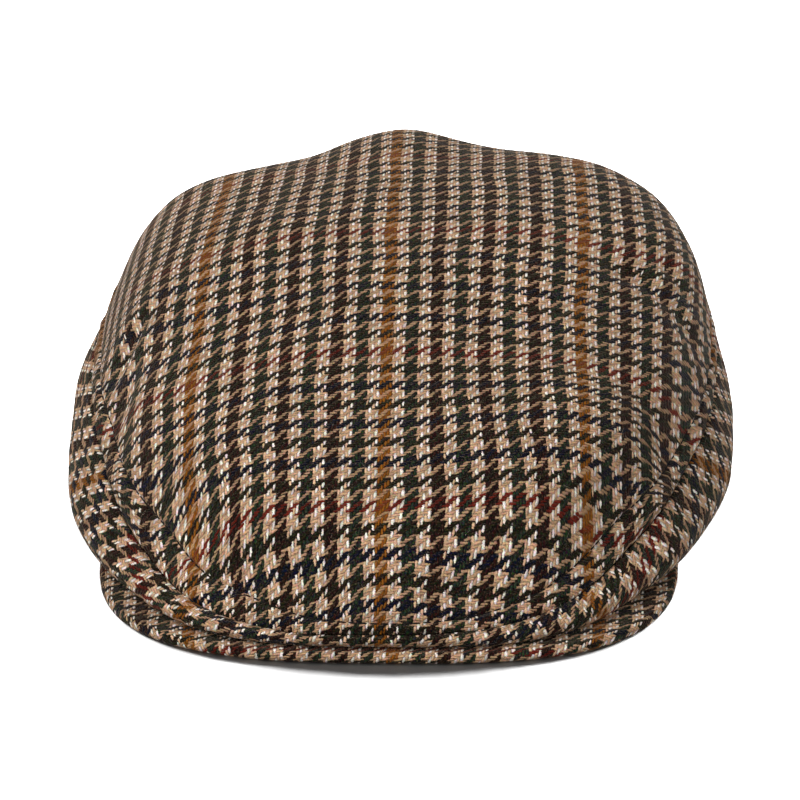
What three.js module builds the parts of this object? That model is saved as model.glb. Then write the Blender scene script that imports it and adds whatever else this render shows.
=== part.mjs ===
// Flat cap in wool tweed, lying on a flat surface with its peak towards -Y.
//
// Three cloth pieces: a domed top panel, a side band sewn round its edge and turned in under
// the cap to the head opening, and a stiff cloth-covered peak under the band's front.
// Millimetres, +Z up, origin on the surface under the middle of the cap.
//
// The crown is one smooth surface, lofted round a vertical axis. Each row of SECTIONS is a
// radial section; a section runs from the top of the crown over the shoulder and the seam
// to the widest point of the band, then turns under to the rim of the head opening.

import * as THREE from "three";

// Driving dimensions
const CLOTH = 1.4; // thickness of the tweed
const SEAM_GAP = 0.3; // clearance between sewn pieces
const PEAK_THICKNESS = 3.6; // board with cloth on both faces
const ON_PEAK = PEAK_THICKNESS + SEAM_GAP; // height of the band's underside over the peak
const ON_HORN = ON_PEAK + 0.1; // the same over the peak's horns
const TREAD = 10; // width of the flat turned-in edge round the head opening
const FOLD_BACK = 1.6; // how far the band's lower fold lies inside its bulge
const FOLD_BACK_SHARE = 0.5; // and how much more for each millimetre that the bulge is high
const FOLD_LIFT = 0.1; // height of the lower fold over the tread
const FOLD_LIFT_SHARE = 0.04;
const CROWN_AXIS = { x: -4, y: 7 };
const CROWN_TOP = 92.5; // height of the cloth on the crown's axis
const TOP_SLOPE = { x: 0.03, y: 0.2 }; // slope of the cloth on the axis, rising to the back
const MID_SHARE = 0.55; // where a section's middle height is given, as a share of shoulder_r

const PEAK_FRONT = -138; // front edge, along Y
const PEAK_WIDEST = -42; // where the outer edge is widest, along Y
const PEAK_HALF_WIDTH = 93.5;
const PEAK_OFFSET = 0.8; // the peak's middle, to the +X side of the crown's axis
const PEAK_POWER = 3; // fullness of the outer edge; 2 is an ellipse
const HORN_TIP = { x: 81, y: -14 }; // where a horn ends, x from the peak's middle
const HORN_ANGLE = 74; // azimuth where the peak's inner edge stops
const PEAK_BEVEL = 1.2; // rounding of the peak's edge

const TURN_STEPS = 64; // facets round the crown
const TOP_RINGS = 20; // rings from the axis to the seam
const PEAK_STEPS = 48; // facets along the peak's outer edge
const HORN_STEPS = 6; // facets along the outer edge of a horn
const PEAK_INNER_STEPS = 24; // facets along the peak's inner edge

// Radial sections. azimuth: 0 is the front, 90 the wearer's left (+X). r columns are distances
// from the crown's axis and z columns heights: mid, shoulder, seam, bulge (the widest point),
// rim_r the edge of the head opening and seat_z the height that the turned-in edge lies at.
const COLUMNS = ["azimuth", "mid_z", "shoulder_r", "shoulder_z", "seam_r", "seam_z",
  "bulge_r", "bulge_z", "rim_r", "seat_z"];
const SECTIONS = [
  [0, 68.5, 115, 41, 142.3, 8.9, 143.3, 6.9, 90, ON_PEAK],
  [22, 70.5, 115, 43, 137.5, 11.5, 144, 7.4, 88, ON_PEAK],
  [42, 77, 103, 53, 119, 19, 127.5, 10, 82, ON_PEAK],
  [65, 84, 95, 62, 108, 28, 116, 13.2, 77, ON_HORN],
  [78, 87.5, 93, 67.5, 107, 32.5, 114.6, 16.3, 76.5, ON_HORN],
  [96, 92, 95.5, 74, 109, 39, 115, 22, 78, 0],
  [115, 95.5, 105.6, 80.5, 119.4, 47, 124, 28, 84, 0],
  [138, 98.5, 114, 87, 134, 58, 139, 34, 97, 0],
  [160, 98.6, 105, 90.4, 128, 62, 134, 36, 105, 0],
  [180, 99.3, 100, 97.5, 126, 64, 131, 37, 107, 0],
  [200, 96.7, 104, 86, 127, 61, 133, 35, 105, 0],
  [222, 93, 110, 80, 128.4, 54, 134, 32, 97, 0],
  [245, 90, 94.6, 73, 111.2, 44, 117.5, 27, 84, 0],
  [264, 86.2, 85, 67, 101.8, 36, 108.6, 21, 78, 0],
  [282, 82, 84.4, 60, 100.2, 30, 109, 14.8, 76.5, ON_HORN],
  [295, 79, 89, 54, 103, 26, 113.5, 12, 77, ON_HORN],
  [318, 73, 102, 45, 117, 16, 127, 9, 82, ON_PEAK],
  [338, 69.5, 115, 40, 137, 10, 143.5, 7, 88, ON_PEAK],
].map((row) => Object.fromEntries(COLUMNS.map((name, i) => [name, row[i]])));

// Places along a section
const [AXIS, MID, SHOULDER, SEAM, BULGE, FOLD, TREAD_EDGE, RIM] = [0, 1, 2, 3, 4, 5, 6, 7];

// Rings of the side band. The first stops at the seam.
const BAND_PLACES = [SEAM, 3.33, 3.67, BULGE, 4.25, 4.5, 4.75, FOLD, 5.5, TREAD_EDGE, RIM];

// Steps that a surface's normal is measured over
const NUDGE_TURN = 0.5; // degrees
const NUDGE_PLACE = 0.02;

// Creases and dents: from and to are [azimuth, place along the section], depth is inwards.
const CREASES = [
  { name: "right_crease", from: [89, 1.5], to: [86, 2.5], depth: 3.5, width: 6 },
  { name: "right_second", from: [98, 1.8], to: [94, 2.2], depth: 1.5, width: 4 },
  { name: "left_crease", from: [275, 1.8], to: [282, 2.7], depth: 3.5, width: 6 },
  { name: "left_dent", from: [286, 2], to: [290, 2.8], depth: 2, width: 11 },
];

// Value of a column at any azimuth: a smooth closed curve through the rows.
function column(name, azimuth) {
  const count = SECTIONS.length;
  const angle = ((azimuth % 360) + 360) % 360;
  const at = SECTIONS.findLastIndex((row) => row.azimuth <= angle);
  const knot = (offset) => {
    const index = at + offset;
    const turns = Math.floor(index / count);
    const row = SECTIONS[index - turns * count];
    return [row.azimuth + 360 * turns, row[name]];
  };
  const [before, start, end, after] = [-1, 0, 1, 2].map(knot);
  const slope = (left, middle, right) => {
    const a = middle[0] - left[0];
    const b = right[0] - middle[0];
    return (((middle[1] - left[1]) / a) * b + ((right[1] - middle[1]) / b) * a) / (a + b);
  };
  const span = end[0] - start[0];
  return hermite((angle - start[0]) / span, start[1], slope(before, start, end) * span,
    end[1], slope(start, end, after) * span);
}

function hermite(t, from, fromSlope, to, toSlope) {
  const t2 = t * t;
  const t3 = t2 * t;
  return (2 * t3 - 3 * t2 + 1) * from + (t3 - 2 * t2 + t) * fromSlope
    + (3 * t2 - 2 * t3) * to + (t3 - t2) * toSlope;
}

// One radial section: its knots and the directions it has there, in (r, z).
function section(azimuth) {
  const at = (name) => column(name, azimuth);
  const seat = Math.max(0, at("seat_z"));
  const drop = at("bulge_z") - seat;
  const treadEdge = at("rim_r") + TREAD;
  const knots = [
    new THREE.Vector2(0, CROWN_TOP),
    new THREE.Vector2(MID_SHARE * at("shoulder_r"), at("mid_z")),
    new THREE.Vector2(at("shoulder_r"), at("shoulder_z")),
    new THREE.Vector2(at("seam_r"), at("seam_z")),
    new THREE.Vector2(at("bulge_r"), at("bulge_z")),
    new THREE.Vector2(Math.max(at("bulge_r") - FOLD_BACK - FOLD_BACK_SHARE * drop,
      treadEdge + FOLD_BACK), seat + FOLD_LIFT + FOLD_LIFT_SHARE * drop),
    new THREE.Vector2(treadEdge, seat),
    new THREE.Vector2(at("rim_r"), seat),
  ];
  const spans = knots.slice(1).map((knot, i) => knot.distanceTo(knots[i]));
  const through = (i) => {
    const a = spans[i - 1];
    const b = spans[i];
    const left = knots[i].clone().sub(knots[i - 1]).multiplyScalar(b / a);
    const right = knots[i + 1].clone().sub(knots[i]).multiplyScalar(a / b);
    return left.add(right).divideScalar(a + b);
  };
  const turn = THREE.MathUtils.degToRad(azimuth);
  const topSlope = TOP_SLOPE.x * Math.sin(turn) - TOP_SLOPE.y * Math.cos(turn);
  const directions = [
    new THREE.Vector2(1, topSlope).normalize(),
    through(MID),
    through(SHOULDER),
    through(SEAM),
    new THREE.Vector2(0, -1),
    new THREE.Vector2(-1, 0),
    new THREE.Vector2(-1, 0),
    new THREE.Vector2(-1, 0),
  ];
  return { knots, spans, directions };
}

// Point of the plain crown, before creases.
function plainPoint(azimuth, place) {
  const { knots, spans, directions } = section(azimuth);
  const i = Math.min(Math.floor(place), RIM - 1);
  const t = place - i;
  const along = (axis) => hermite(t, knots[i][axis], directions[i][axis] * spans[i],
    knots[i + 1][axis], directions[i + 1][axis] * spans[i]);
  const turn = THREE.MathUtils.degToRad(azimuth);
  const r = along("x");
  return new THREE.Vector3(CROWN_AXIS.x + r * Math.sin(turn), CROWN_AXIS.y - r * Math.cos(turn),
    along("y"));
}

function outwardNormal(pointAt, azimuth, place) {
  if (place < NUDGE_PLACE) {
    return new THREE.Vector3(-TOP_SLOPE.x, -TOP_SLOPE.y, 1).normalize();
  }
  const down = pointAt(azimuth, Math.min(place + NUDGE_PLACE, RIM))
    .sub(pointAt(azimuth, place - NUDGE_PLACE));
  const round = pointAt(azimuth + NUDGE_TURN, place).sub(pointAt(azimuth - NUDGE_TURN, place));
  return down.cross(round).normalize();
}

const CREASE_LINES = CREASES.map((crease) => ({
  ...crease,
  line: new THREE.Line3(plainPoint(...crease.from), plainPoint(...crease.to)),
}));

// How far the creases push a point in.
function creaseDepth(point) {
  const nearest = new THREE.Vector3();
  return CREASE_LINES.reduce((sum, { line, depth, width }) => {
    const away = line.closestPointToPoint(point, true, nearest).distanceTo(point);
    return sum + depth * Math.exp(-((away / width) ** 2));
  }, 0);
}

// Outer face of the cloth, with its creases.
function clothPoint(azimuth, place) {
  const point = plainPoint(azimuth, place);
  const inward = outwardNormal(plainPoint, azimuth, place).negate();
  return point.addScaledVector(inward, creaseDepth(point));
}

function clothRing(placeAt, inset) {
  return Array.from({ length: TURN_STEPS }, (_, j) => {
    const azimuth = (360 * j) / TURN_STEPS;
    const place = placeAt(azimuth);
    const normal = outwardNormal(clothPoint, azimuth, place);
    return clothPoint(azimuth, place).addScaledVector(normal, -inset);
  });
}

// A closed cloth wall between an outer and an inner stack of rings. A stack may start in a
// single point, the pole of a dome.
function clothWall(outer, inner, pole) {
  const positions = [];
  const indices = [];
  const add = (point) => positions.push(point.x, point.y, point.z) / 3 - 1;
  const faces = [outer, inner].map((rings, side) => ({
    pole: pole ? add(pole[side]) : null,
    rings: rings.map((ring) => ring.map(add)),
  }));
  const triangle = (a, b, c, flip) => indices.push(...(flip ? [a, c, b] : [a, b, c]));
  const strip = (ringA, ringB, flip) => {
    for (let j = 0; j < TURN_STEPS; j += 1) {
      const k = (j + 1) % TURN_STEPS;
      triangle(ringA[j], ringB[j], ringB[k], flip);
      triangle(ringA[j], ringB[k], ringA[k], flip);
    }
  };
  faces.forEach((face, side) => {
    const flip = side === 1;
    if (face.pole !== null) {
      face.rings[0].forEach((vertex, j) => {
        triangle(face.pole, vertex, face.rings[0][(j + 1) % TURN_STEPS], flip);
      });
    }
    face.rings.slice(1).forEach((ring, i) => strip(face.rings[i], ring, flip));
  });
  const [outside, inside] = faces;
  strip(outside.rings.at(-1), inside.rings.at(-1), false);
  if (!pole) {
    strip(outside.rings[0], inside.rings[0], true);
  }
  const geometry = new THREE.BufferGeometry();
  geometry.setAttribute("position", new THREE.Float32BufferAttribute(positions, 3));
  geometry.setIndex(indices);
  return geometry;
}

// Where a piece stops beside the seam line, as a place along the section.
function besideSeam(azimuth, side) {
  const { spans } = section(azimuth);
  const span = side < 0 ? spans[SEAM - 1] : spans[SEAM];
  return SEAM + (side * SEAM_GAP) / 2 / span;
}

function topPanel() {
  const places = Array.from({ length: TOP_RINGS }, (_, i) => (i + 1) / TOP_RINGS);
  const stack = (inset) => places.map((share) =>
    clothRing((azimuth) => share * besideSeam(azimuth, -1), inset));
  const pole = [0, CLOTH].map((inset) =>
    clothPoint(0, AXIS).addScaledVector(outwardNormal(clothPoint, 0, AXIS), -inset));
  return clothWall(stack(0), stack(CLOTH), pole);
}

function sideBand() {
  const stack = (inset) => BAND_PLACES.map((place) =>
    clothRing((azimuth) => Math.max(place, besideSeam(azimuth, 1)), inset));
  return clothWall(stack(0), stack(CLOTH), null);
}

// The peak: a crescent between its outer edge and the front of the head opening. Past its
// widest the outer edge bends in along each horn.
function peak() {
  const middle = CROWN_AXIS.x + PEAK_OFFSET;
  const length = PEAK_WIDEST - PEAK_FRONT - PEAK_BEVEL;
  const halfWidth = PEAK_HALF_WIDTH - PEAK_BEVEL;
  const fullness = (value) => Math.sign(value) * Math.abs(value) ** (2 / PEAK_POWER);
  const edge = Array.from({ length: PEAK_STEPS + 1 }, (_, i) => {
    const turn = Math.PI * (i / PEAK_STEPS - 0.5);
    return new THREE.Vector2(middle + halfWidth * fullness(Math.sin(turn)),
      PEAK_WIDEST - length * fullness(Math.cos(turn)));
  });
  const horn = (side) => Array.from({ length: HORN_STEPS }, (_, i) => {
    const turn = (Math.PI / 2) * ((i + 1) / HORN_STEPS);
    const x = HORN_TIP.x + (halfWidth - HORN_TIP.x) * Math.cos(turn);
    return new THREE.Vector2(middle + side * x,
      PEAK_WIDEST + (HORN_TIP.y - PEAK_WIDEST) * Math.sin(turn));
  });
  const inner = Array.from({ length: PEAK_INNER_STEPS + 1 }, (_, i) => {
    const azimuth = HORN_ANGLE * (1 - (2 * i) / PEAK_INNER_STEPS);
    const turn = THREE.MathUtils.degToRad(azimuth);
    const r = column("rim_r", azimuth) + PEAK_BEVEL;
    return new THREE.Vector2(CROWN_AXIS.x + r * Math.sin(turn), CROWN_AXIS.y - r * Math.cos(turn));
  });
  const outline = [...horn(-1).reverse(), ...edge, ...horn(1), ...inner];
  const geometry = new THREE.ExtrudeGeometry(new THREE.Shape(outline), {
    depth: PEAK_THICKNESS - 2 * PEAK_BEVEL,
    bevelThickness: PEAK_BEVEL,
    bevelSize: PEAK_BEVEL,
    bevelSegments: 2,
    steps: 1,
  });
  return geometry.translate(0, 0, PEAK_BEVEL);
}

const tweed = (color) => new THREE.MeshStandardMaterial({ color, roughness: 0.95, metalness: 0 });

function piece(name, geometry, color) {
  const mesh = new THREE.Mesh(geometry, tweed(color));
  mesh.name = name;
  return mesh;
}

const cap = new THREE.Group();
cap.name = "flat_cap";
cap.add(piece("top_panel", topPanel(), 0x6b5a48));
cap.add(piece("side_band", sideBand(), 0x665645));
cap.add(piece("peak", peak(), 0x5f5041));

export default cap;
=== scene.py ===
"""Looks of a wool tweed flat cap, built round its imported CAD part. Blender 4.5.

Lengths are in millimetres until a mesh is made, and the peak points to -Y. The stage, lights
and camera are in metres. The crown's surface follows the same radial sections as the part's
source. A place on a section counts its knots, from AXIS to RIM, and an azimuth is in degrees
from the front towards +X. The weave is a material. It counts threads across and along the
cloth, by the UV map CLOTH_MAP.
"""

import math

import bpy
import numpy as np
from mathutils import Matrix, Vector


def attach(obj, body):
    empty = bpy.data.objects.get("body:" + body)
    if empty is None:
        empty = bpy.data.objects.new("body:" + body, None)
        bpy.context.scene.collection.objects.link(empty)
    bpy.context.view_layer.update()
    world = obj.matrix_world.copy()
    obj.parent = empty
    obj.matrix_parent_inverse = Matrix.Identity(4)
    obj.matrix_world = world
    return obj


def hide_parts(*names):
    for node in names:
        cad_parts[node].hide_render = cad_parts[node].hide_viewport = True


MM = 0.001
CLOTH_MAP = "cloth"
BAKE_MAP = "OFBake"  # the name of the UV map to bake to

# Sizes that the part's source has too
CLOTH = 1.4  # thickness of the cloth's walls
SEAM_GAP = 0.3
PEAK_THICKNESS = 3.6
ON_PEAK = PEAK_THICKNESS + SEAM_GAP  # height of cloth that lies on the peak
ON_HORN = ON_PEAK + 0.1
TREAD = 10  # width of the turned-in edge
# How far the fold lies inside the bulge and above the turned-in edge: for a bulge of no height,
# and how much more for each millimetre of its height
FOLD_BACK, FOLD_LIFT = (1.6, 0.5), (0.1, 0.04)
CROWN_AXIS = (-4, 7)  # x and y
CROWN_TOP = 92.5
TOP_SLOPE = (0.03, 0.2)  # rise of the crown at its axis, towards +X and +Y
MID_SHARE = 0.55  # r of the middle knot, as a share of the shoulder's
PEAK_FRONT = -138
PEAK_WIDEST = -42
PEAK_HALF_WIDTH = 93.5
PEAK_OFFSET = 0.8  # the peak's middle, to the side of the crown's axis
PEAK_POWER = 3  # fullness of the peak's outline: 2 would be an ellipse
HORN_TIP = (81, -14)
HORN_ANGLE = 74  # azimuth where the peak's horns end

COLUMNS = ("azimuth", "mid_z", "shoulder_r", "shoulder_z", "seam_r", "seam_z",
           "bulge_r", "bulge_z", "rim_r", "seat_z")
SECTIONS = (
    (0, 68.5, 115, 41, 142.3, 8.9, 143.3, 6.9, 90, ON_PEAK),
    (22, 70.5, 115, 43, 137.5, 11.5, 144, 7.4, 88, ON_PEAK),
    (42, 77, 103, 53, 119, 19, 127.5, 10, 82, ON_PEAK),
    (65, 84, 95, 62, 108, 28, 116, 13.2, 77, ON_HORN),
    (78, 87.5, 93, 67.5, 107, 32.5, 114.6, 16.3, 76.5, ON_HORN),
    (96, 92, 95.5, 74, 109, 39, 115, 22, 78, 0),
    (115, 95.5, 105.6, 80.5, 119.4, 47, 124, 28, 84, 0),
    (138, 98.5, 114, 87, 134, 58, 139, 34, 97, 0),
    (160, 98.6, 105, 90.4, 128, 62, 134, 36, 105, 0),
    (180, 99.3, 100, 97.5, 126, 64, 131, 37, 107, 0),
    (200, 96.7, 104, 86, 127, 61, 133, 35, 105, 0),
    (222, 93, 110, 80, 128.4, 54, 134, 32, 97, 0),
    (245, 90, 94.6, 73, 111.2, 44, 117.5, 27, 84, 0),
    (264, 86.2, 85, 67, 101.8, 36, 108.6, 21, 78, 0),
    (282, 82, 84.4, 60, 100.2, 30, 109, 14.8, 76.5, ON_HORN),
    (295, 79, 89, 54, 103, 26, 113.5, 12, 77, ON_HORN),
    (318, 73, 102, 45, 117, 16, 127, 9, 82, ON_PEAK),
    (338, 69.5, 115, 40, 137, 10, 143.5, 7, 88, ON_PEAK),
)
# Places along a section
AXIS, MID, SHOULDER, SEAM, BULGE, FOLD, TREAD_EDGE, RIM = range(8)

# Creases and dents: from and to, each (azimuth, place), depth inwards and width. The part's
# source has them too, a little plainer.
CREASES = (
    ((87.5, 1.45), (86.5, 2.45), 3.6, 5.5),
    ((98, 1.8), (94, 2.2), 1.3, 4),
    ((273.5, 1.85), (279, 2.65), 3.4, 5.5),
    ((286, 2), (290, 2.8), 2, 11),
)
CREASE_ENDS = 0.3  # share of a crease's depth that is left at its ends

# Threads
THREAD = 1.0  # distance between threads
GROUP = 4  # threads in a group of one shade
REPEAT = 64  # threads in the pattern's repeat, both ways

TURNS = 480  # columns of the panel's and the band's meshes
CORNERS = ((0, 0), (1, 0), (1, 1), (0, 1))  # steps from a face's first corner, row and column


def joined(*parts):
    """One array, whose last axis runs over the parts."""
    return np.stack(parts, -1)


def unit(vectors):
    return vectors / np.maximum(np.linalg.norm(vectors, axis=-1, keepdims=True), 1e-12)


def run_along(points):
    """Running length over points along their first axis."""
    steps = np.linalg.norm(np.diff(points, axis=0), axis=-1)
    return np.concatenate([np.zeros((1, *steps.shape[1:])), np.cumsum(steps, axis=0)])


def closed(grid):
    """The grid with its first column once more at its end."""
    return np.concatenate([grid, grid[:, :1]], axis=1)


def polar(centre, azimuth, r):
    """x and y at a distance from a centre, towards an azimuth."""
    turn = np.radians(azimuth)
    return centre[0] + r * np.sin(turn), centre[1] - r * np.cos(turn)


def hermite(t, start, start_slope, end, end_slope):
    t2, t3 = t * t, t * t * t
    return ((2 * t3 - 3 * t2 + 1) * start + (t3 - 2 * t2 + t) * start_slope
            + (3 * t2 - 2 * t3) * end + (t3 - t2) * end_slope)


class Round:
    """A smooth closed curve of values round the crown, through (azimuth, value) rows."""

    def __init__(self, azimuths, values):
        azimuths, values = np.array(azimuths, float), np.array(values, float)
        self.x = np.concatenate([azimuths[-2:] - 360, azimuths, azimuths[:3] + 360])
        self.y = np.concatenate([values[-2:], values, values[:3]])
        step = np.diff(self.x)
        rise = np.diff(self.y) / step
        a, b = step[:-1], step[1:]
        inner = (rise[:-1] * b + rise[1:] * a) / (a + b)
        self.slope = np.concatenate([[0], inner, [0]])

    def __call__(self, azimuth):
        angle = np.mod(azimuth, 360)
        i = np.searchsorted(self.x, angle, side="right") - 1
        span = self.x[i + 1] - self.x[i]
        return hermite((angle - self.x[i]) / span, self.y[i], self.slope[i] * span,
                       self.y[i + 1], self.slope[i + 1] * span)


TABLE = np.array(SECTIONS, float)
COLUMN = {name: Round(TABLE[:, 0], TABLE[:, i]) for i, name in enumerate(COLUMNS) if i}


def sections(azimuth):
    """Knots (..., 8, 2) of radial sections, with their spans and directions, in (r, z)."""
    at = {name: COLUMN[name](azimuth) for name in COLUMNS[1:]}
    seat = np.maximum(0, at["seat_z"])
    drop = at["bulge_z"] - seat
    tread_edge = at["rim_r"] + TREAD
    fold = np.maximum(at["bulge_r"] - FOLD_BACK[0] - FOLD_BACK[1] * drop,
                      tread_edge + FOLD_BACK[0])
    zero = np.zeros_like(seat)
    r = [zero, MID_SHARE * at["shoulder_r"], at["shoulder_r"], at["seam_r"], at["bulge_r"],
         fold, tread_edge, at["rim_r"]]
    z = [zero + CROWN_TOP, at["mid_z"], at["shoulder_z"], at["seam_z"], at["bulge_z"],
         seat + FOLD_LIFT[0] + FOLD_LIFT[1] * drop, seat, seat]
    knots = joined(np.stack(r, -1), np.stack(z, -1))
    steps = np.diff(knots, axis=-2)
    spans = np.linalg.norm(steps, axis=-1)
    a, b = spans[..., :-1, None], spans[..., 1:, None]
    through = (steps[..., :-1, :] / a * b + steps[..., 1:, :] / b * a) / (a + b)
    turn = np.radians(azimuth)
    slope = TOP_SLOPE[0] * np.sin(turn) - TOP_SLOPE[1] * np.cos(turn)
    directions = np.zeros_like(knots)
    directions[..., AXIS, :] = unit(joined(zero + 1, slope))
    directions[..., MID:BULGE, :] = through[..., :BULGE - 1, :]
    directions[..., BULGE, 1] = -1
    directions[..., FOLD:, 0] = -1
    return knots, spans, directions


def plain(azimuth, place):
    """Points (rows, columns, 3) of the plain crown. azimuth and place broadcast."""
    azimuth, place = np.broadcast_arrays(np.asarray(azimuth, float), np.asarray(place, float))
    knots, spans, directions = sections(azimuth)
    i = np.clip(np.floor(place).astype(int), 0, RIM - 1)
    t = (place - i)[..., None]

    def pick(values, index):
        return np.take_along_axis(values, index[..., None, None], axis=-2)[..., 0, :]

    span = np.take_along_axis(spans, i[..., None], axis=-1)
    rz = hermite(t, pick(knots, i), pick(directions, i) * span,
                 pick(knots, i + 1), pick(directions, i + 1) * span)
    return joined(*polar(CROWN_AXIS, azimuth, rz[..., 0]), rz[..., 1])


def crown_normals(azimuth, place, nudge=0.02, nudge_turn=0.5):
    """Outward normals of the plain crown. At its axis they are those just beside it."""
    place = np.maximum(place, 2 * nudge)
    down = plain(azimuth, np.minimum(place + nudge, RIM)) - plain(azimuth, place - nudge)
    around = plain(azimuth + nudge_turn, place) - plain(azimuth - nudge_turn, place)
    return unit(np.cross(down, around))


def crease_depth(points):
    """How far the creases and dents press points of the plain crown in."""
    depth = np.zeros(points.shape[:-1])
    for *ends, deepest, width in CREASES:
        start, end = (plain(*place) for place in ends)
        along = end - start
        share = np.clip((points - start) @ along / (along @ along), 0, 1)
        away = np.linalg.norm(points - (start + share[..., None] * along), axis=-1)
        taper = CREASE_ENDS + (1 - CREASE_ENDS) * np.sin(math.pi * share)
        depth += deepest * taper * np.exp(-((away / width) ** 2))
    return depth


def ripples(points, seed, wavelength, count=14):
    """Smooth unevenness from -1 to 1 with about the given wavelength."""
    random = np.random.default_rng(seed)
    total = np.zeros(points.shape[:-1])
    for _ in range(count):
        direction = random.normal(size=3)
        direction *= 2 * math.pi / wavelength / np.linalg.norm(direction)
        direction *= random.uniform(0.6, 1.5)
        total += np.sin(points @ direction + random.uniform(0, 2 * math.pi))
    return total / math.sqrt(count * 2)


def relief(points, rows):
    """Sum of ripples, by (height, seed, wavelength) rows."""
    return sum(height * ripples(points, seed, wavelength) for height, seed, wavelength in rows)


# The topstitch's distance inside the seam, by azimuth
STITCH_LINE = Round([0, 9, 19, 28, 38, 53, 80, 130, 180, 230, 280, 304, 314, 324, 334, 343, 352],
                    [3.4, 4, 6, 8.4, 9.6, 8, 7, 6, 6, 6, 7, 9, 10.4, 11.6, 9.8, 8.4, 4.6])
GROOVE = {"depth": 1.1, "width": 1.0}
STITCH_SINK = {"depth": 1.0, "width": 0.8}
PUFF = 0.45  # rise of the seam allowance between the stitches and the seam
PUCKER = {"height": 0.32, "reach": 7, "wavelength": 9}  # small rises that the seam draws up
BACK_GROOVE = {"depth": 1.0, "width": 0.8}
UNEVEN = ((0.55, 3, 62), (0.22, 4, 24))  # small rises and hollows of soft cloth
BESIDE_GROOVE = 0.8  # share of the seam's groove that the cloth's inside and edge have


def notch(distance, shape):
    """Depth of a groove at a distance from its middle."""
    return shape["depth"] * np.exp(-((distance / shape["width"]) ** 2))


def puckers(points, distance):
    """Rises at a distance from the seam."""
    return (PUCKER["height"] * np.exp(-((distance / PUCKER["reach"]) ** 2))
            * ripples(points, 6, PUCKER["wavelength"]))


def uneven(points):
    return relief(points, UNEVEN)


FREE = 0.001  # size of a corner of the bake maps that is free


def closed_mesh(name, points, maps, poles=None, pole_maps=None):
    """A closed surface from a grid of rings, which run so that its faces point out. Each ring
    closes on itself. Their stack closes on itself too, or ends in two poles. A map is a UV grid
    with one more column than points has, and one more row where the stack closes, or it holds
    UVs for each quad's corners."""
    rows, columns = points.shape[:2]
    stacked = poles is None
    i, j = np.meshgrid(np.arange(rows if stacked else rows - 1), np.arange(columns),
                       indexing="ij")
    corners = [(i + down, j + along) for down, along in CORNERS]

    def vertex(a, b):
        return (a % rows) * columns + b % columns

    def at_corners(grid):
        each = grid if grid.ndim == 4 else np.stack([grid[a, b] for a, b in corners], -2)
        return each.reshape(-1, 4, 2)

    faces = [np.stack([vertex(a, b) for a, b in corners], -1).reshape(-1, 4)]
    uvs = {key: [at_corners(grid)] for key, grid in maps.items()}
    vertices = points.reshape(-1, 3)
    if not stacked:
        j = np.arange(columns)
        for end, row, order in ((0, 0, (0, 1, 2)), (1, rows - 1, (1, 0, 2))):
            fan = np.full(columns, len(vertices) + end), vertex(row, j), vertex(row, j + 1)
            faces.append(np.stack([fan[k] for k in order], -1))
            for key, grid in maps.items():
                if grid.ndim == 4:
                    uvs[key].append(np.mod(uvs[CLOTH_MAP][-1], 1) * FREE + FREE)
                    continue
                uv = (np.broadcast_to(pole_maps[key][end], (columns, 2)), grid[row, j],
                      grid[row, j + 1])
                uvs[key].append(np.stack([uv[k] for k in order], -2))
        vertices = np.concatenate([vertices, np.array(poles)])
    return make_object(name, vertices, [face for part in faces for face in part.tolist()],
                       {key: np.concatenate([part.reshape(-1, 2) for part in parts])
                        for key, parts in uvs.items()})


def put(name, data):
    """A new object in the scene."""
    thing = bpy.data.objects.new(name, data)
    bpy.context.scene.collection.objects.link(thing)
    return thing


def make_object(name, vertices, faces, uvs):
    """A smooth-shaded object, from vertices in millimetres."""
    mesh = bpy.data.meshes.new(name)
    mesh.from_pydata((vertices * MM).tolist(), [], faces)
    for key, uv in uvs.items():
        layer = mesh.uv_layers.new(name=key)
        layer.data.foreach_set("uv", uv.astype(np.float32).ravel())
    mesh.polygons.foreach_set("use_smooth", [True] * len(mesh.polygons))
    mesh.update()
    return put(name, mesh)


def azimuth_columns(extra=0, closer=4, within=2.2):
    """Azimuths of the columns, from the centre back round to it, closer at the back seam."""
    fine = np.linspace(-180, 180, 14401)
    weight = 1 + closer * np.exp(-(((180 - np.abs(fine)) / within) ** 2))
    share = np.concatenate([[0], np.cumsum((weight[1:] + weight[:-1]) / 2)])
    return np.interp(np.arange(TURNS + extra) / TURNS, share / share[-1], fine)


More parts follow.
